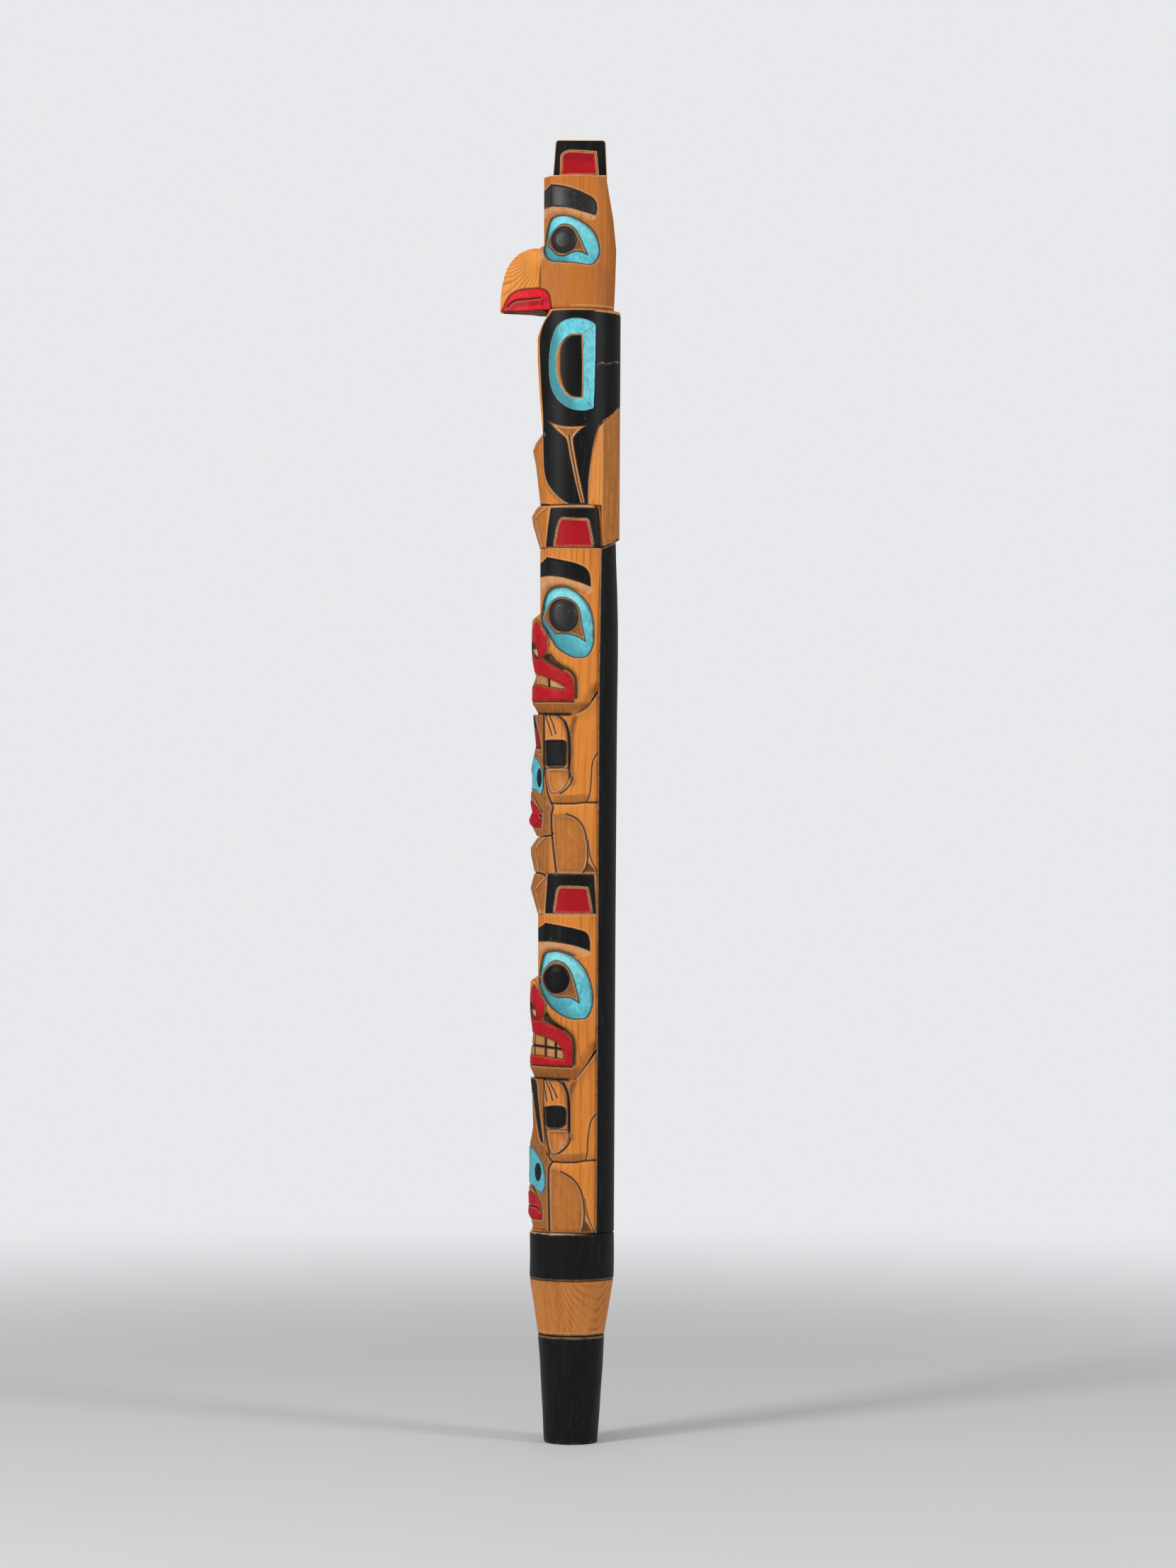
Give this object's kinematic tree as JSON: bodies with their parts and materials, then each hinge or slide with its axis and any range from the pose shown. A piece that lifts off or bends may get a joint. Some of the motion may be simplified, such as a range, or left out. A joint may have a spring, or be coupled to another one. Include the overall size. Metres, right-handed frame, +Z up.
{
  "type": "speaker staff",
  "caption": "Carved and painted wooden speaker's staff: an eagle over two bears on a tapered grip and foot, held upright while its holder speaks.",
  "frame": {"origin": "middle of the foot's round resting face, at the bottom of the staff", "axes": "+Z up along the staff to the ear block, -Y the way the figures face, +X the figures' left, the side that the picture shows"},
  "size_m": [0.0596, 0.0854, 0.9197],
  "materials": {
    "oiled_wood": "oiled red cedar, satin, dark in the carved grooves",
    "dowel_wood": "plain turned hardwood",
    "black_paint": "black paint on wood, satin, brushed",
    "red_paint": "crimson paint on wood, satin, brushed",
    "turquoise_paint": "turquoise paint on wood, thin and streaked, satin"
  },
  "bodies": {
    "root": {"foot": "black_paint", "grip": "oiled_wood", "band": "black_paint", "back_spine": "black_paint", "eagle_ear_block": "black_paint", "eagle_head": "oiled_wood", "beak": "oiled_wood", "beak_dowel": "dowel_wood", "eagle_body": "oiled_wood", "eagle_tail": "oiled_wood", "eagle_ear_inset_left": "red_paint", "eagle_brow_left": "black_paint", "eagle_eye_socket_left": "turquoise_paint", "eagle_pupil_left": "black_paint", "eagle_mouth_left": "red_paint", "eagle_wing_left": "black_paint", "eagle_wing_ring_left": "turquoise_paint", "eagle_ear_inset_right": "red_paint", "eagle_brow_right": "black_paint", "eagle_eye_socket_right": "turquoise_paint", "eagle_pupil_right": "black_paint", "eagle_mouth_right": "red_paint", "eagle_wing_right": "black_paint", "eagle_wing_ring_right": "turquoise_paint", "upper_bear_head": "oiled_wood", "upper_bear_torso": "oiled_wood", "upper_bear_small_face": "oiled_wood", "upper_bear_lips": "red_paint", "upper_bear_small_face_eyes": "turquoise_paint", "upper_bear_small_face_lips": "red_paint", "upper_bear_ear_left": "black_paint", "upper_bear_ear_inset_left": "red_paint", "upper_bear_brow_left": "black_paint", "upper_bear_eye_socket_left": "turquoise_paint", "upper_bear_pupil_left": "black_paint", "upper_bear_paw_pad_left": "black_paint", "upper_bear_ear_right": "black_paint", "upper_bear_ear_inset_right": "red_paint", "upper_bear_brow_right": "black_paint", "upper_bear_eye_socket_right": "turquoise_paint", "upper_bear_pupil_right": "black_paint", "upper_bear_paw_pad_right": "black_paint", "lower_bear_head": "oiled_wood", "lower_bear_torso": "oiled_wood", "lower_bear_small_face": "oiled_wood", "lower_bear_lips": "red_paint", "lower_bear_small_face_eyes": "turquoise_paint", "lower_bear_small_face_lips": "red_paint", "lower_bear_ear_left": "black_paint", "lower_bear_ear_inset_left": "red_paint", "lower_bear_brow_left": "black_paint", "lower_bear_eye_socket_left": "turquoise_paint", "lower_bear_pupil_left": "black_paint", "lower_bear_paw_pad_left": "black_paint", "lower_bear_ear_right": "black_paint", "lower_bear_ear_inset_right": "red_paint", "lower_bear_brow_right": "black_paint", "lower_bear_eye_socket_right": "turquoise_paint", "lower_bear_pupil_right": "black_paint", "lower_bear_paw_pad_right": "black_paint"}
  },
  "joints": []
}
